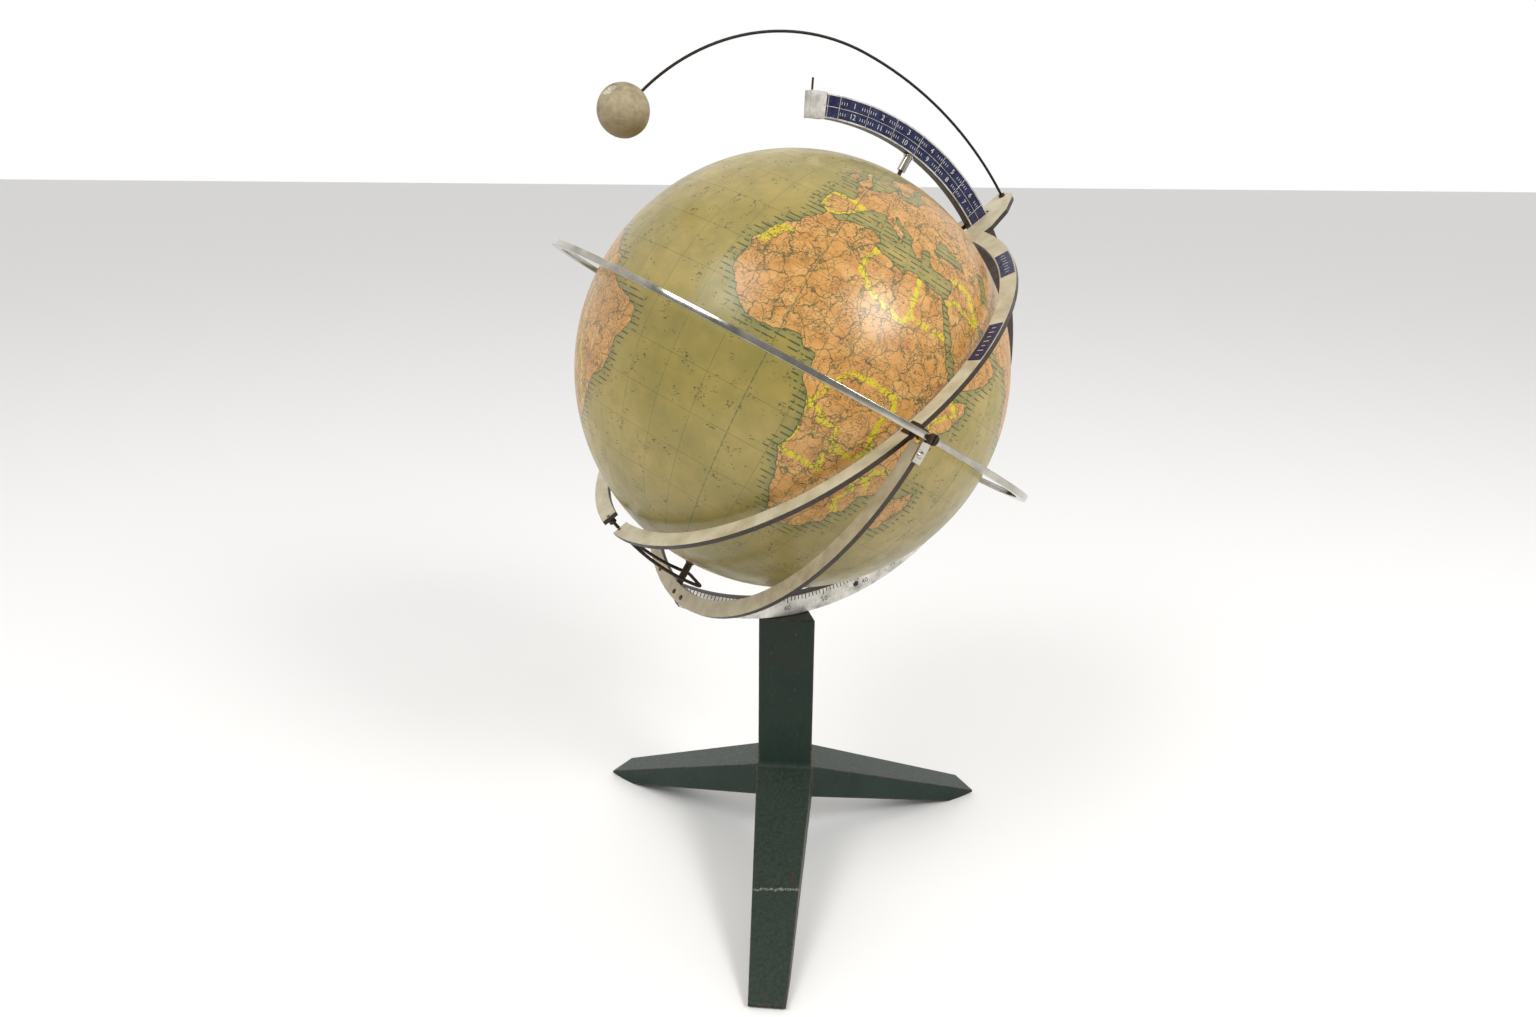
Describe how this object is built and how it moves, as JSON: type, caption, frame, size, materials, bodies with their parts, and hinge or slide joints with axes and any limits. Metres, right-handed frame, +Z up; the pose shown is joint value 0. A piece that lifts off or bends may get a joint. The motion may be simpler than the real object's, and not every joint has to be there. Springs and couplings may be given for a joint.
{
  "type": "orrery",
  "caption": "Tilting terrestrial globe in a meridian ring with an equator ring and a hinged daylight ring that carries a small Sun on a wire, on a three-legged stand.",
  "frame": {"origin": "on the ground, under the middle of the whole object's box", "axes": "+Z up, -Y toward the front leg, the raised Sun to -X at midsummer"},
  "size_m": [0.2766, 0.299, 0.5088],
  "materials": {
    "green_paint": "worn satin enamel",
    "plated_steel": "polished nickel plate",
    "silvered_brass": "satin, printed",
    "dark_moulding": "satin",
    "cream_card": "satin lacquer",
    "varnished_paper": "varnished printed paper",
    "navy_print": "enamel",
    "dark_steel": "browned",
    "brass": "turned",
    "wood": "turned",
    "plaster": "chipped"
  },
  "bodies": {
    "stand": {"stand_casting": "green_paint", "clamp_bolt": "dark_steel", "clamp_washer": "dark_steel"},
    "thumb_nut": {"clamp_thumb_nut": "brass"},
    "cage": {"meridian_ring": "dark_moulding", "latitude_scale": "silvered_brass", "month_scale": "navy_print", "meridian_end_block": "plated_steel", "end_stop_pin": "dark_steel", "equator_ring": "plated_steel", "equator_screw": "plated_steel", "south_yoke": "cream_card", "yoke_foot_plate": "dark_steel", "yoke_screws": "dark_steel", "yoke_bracket_near": "plated_steel", "yoke_bracket_far": "plated_steel", "yoke_rivets": "plated_steel", "pivot_screw_near": "dark_steel", "pivot_screw_far": "dark_steel", "pivot_nut_near": "dark_steel", "pivot_nut_far": "dark_steel", "north_sleeve": "plated_steel", "north_pin": "dark_steel", "south_pin": "dark_steel"},
    "globe": {"globe_north_shell": "varnished_paper", "globe_south_shell": "varnished_paper", "globe_joint_band": "wood", "globe_axle": "wood", "north_bush": "brass", "south_bush": "brass"},
    "season_ring": {"daylight_ring": "cream_card", "ring_labels": "navy_print", "ring_pivot_block_near": "dark_steel", "ring_pivot_block_far": "dark_steel", "hairpin_bracket": "dark_steel", "hairpin_collars": "dark_steel", "sun_wire": "dark_steel", "sun_ball": "plaster", "wire_ferrule": "dark_steel"}
  },
  "joints": [
    {"name": "meridian_tilt", "type": "hinge", "parent": "stand", "child": "cage", "pos_m": [-0.00256, 0.00033, 0.3254], "axis": [0.4221, -0.9065, 0], "range_deg": [-15, 20]},
    {"name": "clamp_nut_turn", "type": "hinge", "parent": "stand", "child": "thumb_nut", "pos_m": [-0.00809, 0.01221, 0.1779], "axis": [-0.4221, 0.9065, 0], "range_deg": [0, 270]},
    {"name": "globe_spin", "type": "hinge", "parent": "cage", "child": "globe", "pos_m": [-0.00256, 0.00033, 0.3254], "axis": [0.464, 0.2161, 0.859], "continuous": true},
    {"name": "season_hinge", "type": "hinge", "parent": "cage", "child": "season_ring", "pos_m": [-0.00256, 0.00033, 0.3254], "axis": [0.4221, -0.9065, 0], "range_deg": [0, 48]}
  ]
}
